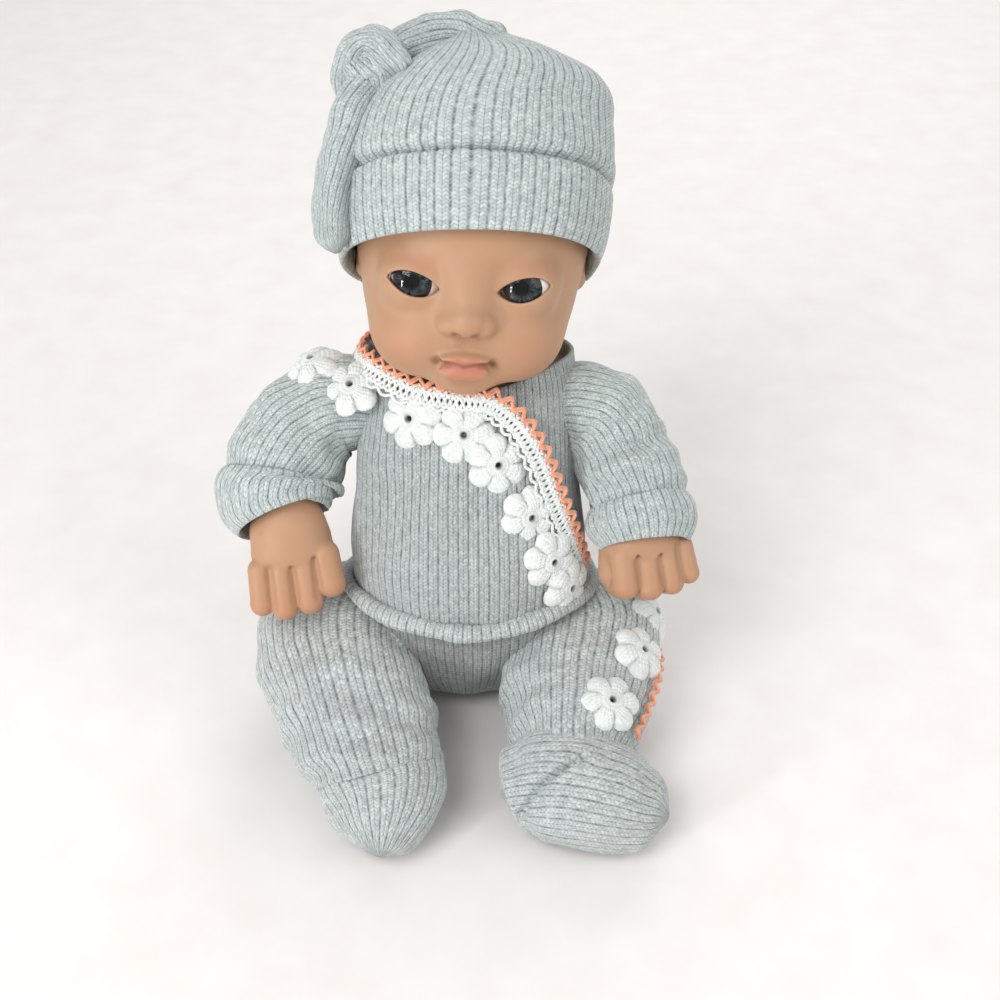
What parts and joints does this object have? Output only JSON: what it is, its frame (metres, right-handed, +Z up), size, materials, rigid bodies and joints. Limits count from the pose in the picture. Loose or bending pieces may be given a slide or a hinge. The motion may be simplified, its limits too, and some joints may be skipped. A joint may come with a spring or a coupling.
{
  "type": "interactive baby doll",
  "caption": "Seated vinyl baby doll in a ribbed knit wrap top, footed trousers and knotted cap, with turning head, arms and legs and a sound module inside.",
  "frame": {"origin": "on the seat's resting face, under the line between the two hip joints", "axes": "+Z up, the doll faces -Y, +X towards its own left hand"},
  "size_m": [0.1732, 0.209, 0.2413],
  "materials": {
    "vinyl_skin": "matte skin-coloured vinyl",
    "body_shell": "satin moulded plastic",
    "inner_plastic": "black moulded plastic",
    "plug_plastic": "natural acetal",
    "screw_steel": "zinc plated",
    "spring_steel": "nickel plated wire",
    "contact_metal": "nickelled brass sheet",
    "cell_jacket": "plain printed cell jacket, no lettering",
    "board_green": "solder mask",
    "chip_black": "moulded epoxy",
    "magnet_steel": "plated magnet cup",
    "cone_paper": "pressed cone",
    "gasket_foam": "closed-cell foam",
    "wire_jacket": "insulated wire",
    "knit": "heather grey-green rib knit",
    "lace": "white crochet lace with a peach zigzag edge",
    "crochet_flower": "white crochet cotton",
    "eye_white": "polished",
    "iris_grey": "printed iris",
    "cornea_clear": "clear dome",
    "switch_black": "fine texture"
  },
  "bodies": {
    "torso": {"torso_front_shell": "body_shell", "torso_rear_shell": "body_shell", "torso_screws": "screw_steel", "battery_box": "inner_plastic", "batteries": "cell_jacket", "battery_springs": "spring_steel", "battery_contacts": "contact_metal", "battery_door": "body_shell", "battery_door_screw": "screw_steel", "circuit_board": "board_green", "sound_chip": "chip_black", "capacitors": "chip_black", "speaker_frame": "inner_plastic", "speaker_cone": "cone_paper", "speaker_magnet": "magnet_steel", "speaker_gasket": "gasket_foam", "tact_switch": "switch_black", "switch_bracket": "inner_plastic", "button_spring": "spring_steel", "power_switch": "switch_black", "wiring": "wire_jacket", "neck_post": "plug_plastic", "wrap_top": "knit", "wrap_lace": "lace", "wrap_flowers": "crochet_flower", "trouser_seat": "knit", "waistband": "knit"},
    "tummy_button": {"tummy_button": "body_shell"},
    "power_switch_knob": {"power_switch_knob": "switch_black"},
    "head": {"head_shell": "vinyl_skin", "neck_ring": "plug_plastic", "cap_crown": "knit", "cap_cuff": "knit", "cap_knot": "knit", "cap_tail": "knit", "left_eyeball": "eye_white", "left_iris": "iris_grey", "left_cornea": "cornea_clear", "left_eye_cup": "plug_plastic", "right_eyeball": "eye_white", "right_iris": "iris_grey", "right_cornea": "cornea_clear", "right_eye_cup": "plug_plastic"},
    "left_arm": {"left_arm": "vinyl_skin", "left_shoulder_plug": "plug_plastic", "left_sleeve": "knit", "left_cuff": "knit"},
    "left_leg": {"left_leg": "vinyl_skin", "left_hip_plug": "plug_plastic", "left_trouser_leg": "knit", "left_bootie": "knit", "leg_flowers": "crochet_flower"},
    "right_arm": {"right_arm": "vinyl_skin", "right_shoulder_plug": "plug_plastic", "right_sleeve": "knit", "right_cuff": "knit"},
    "right_leg": {"right_leg": "vinyl_skin", "right_hip_plug": "plug_plastic", "right_trouser_leg": "knit", "right_bootie": "knit"}
  },
  "joints": [
    {"name": "head_turn", "type": "hinge", "parent": "torso", "child": "head", "pos_m": [0, 0.03185, 0.1218], "axis": [0, 0.309, 0.9511], "range_deg": [-60, 60]},
    {"name": "left_shoulder", "type": "hinge", "parent": "torso", "child": "left_arm", "pos_m": [0.046, 0.02719, 0.11069], "axis": [-1, 0, 0], "range_deg": [-8, 120]},
    {"name": "left_hip", "type": "hinge", "parent": "torso", "child": "left_leg", "pos_m": [0.04, 0, 0.027], "axis": [-1, 0, 0], "range_deg": [-72, 6]},
    {"name": "right_shoulder", "type": "hinge", "parent": "torso", "child": "right_arm", "pos_m": [-0.046, 0.02719, 0.11069], "axis": [-1, 0, 0], "range_deg": [-8, 120]},
    {"name": "right_hip", "type": "hinge", "parent": "torso", "child": "right_leg", "pos_m": [-0.04, 0, 0.027], "axis": [-1, 0, 0], "range_deg": [-72, 6]},
    {"name": "tummy_press", "type": "slide", "parent": "torso", "child": "tummy_button", "axis": [0, 0.9511, -0.309], "range_m": [0, 0.0012], "stiffness_N_per_m": 400, "springref_m": -0.002},
    {"name": "power_slide", "type": "slide", "parent": "torso", "child": "power_switch_knob", "axis": [0, 0.309, 0.9511], "range_m": [0, 0.004]}
  ]
}
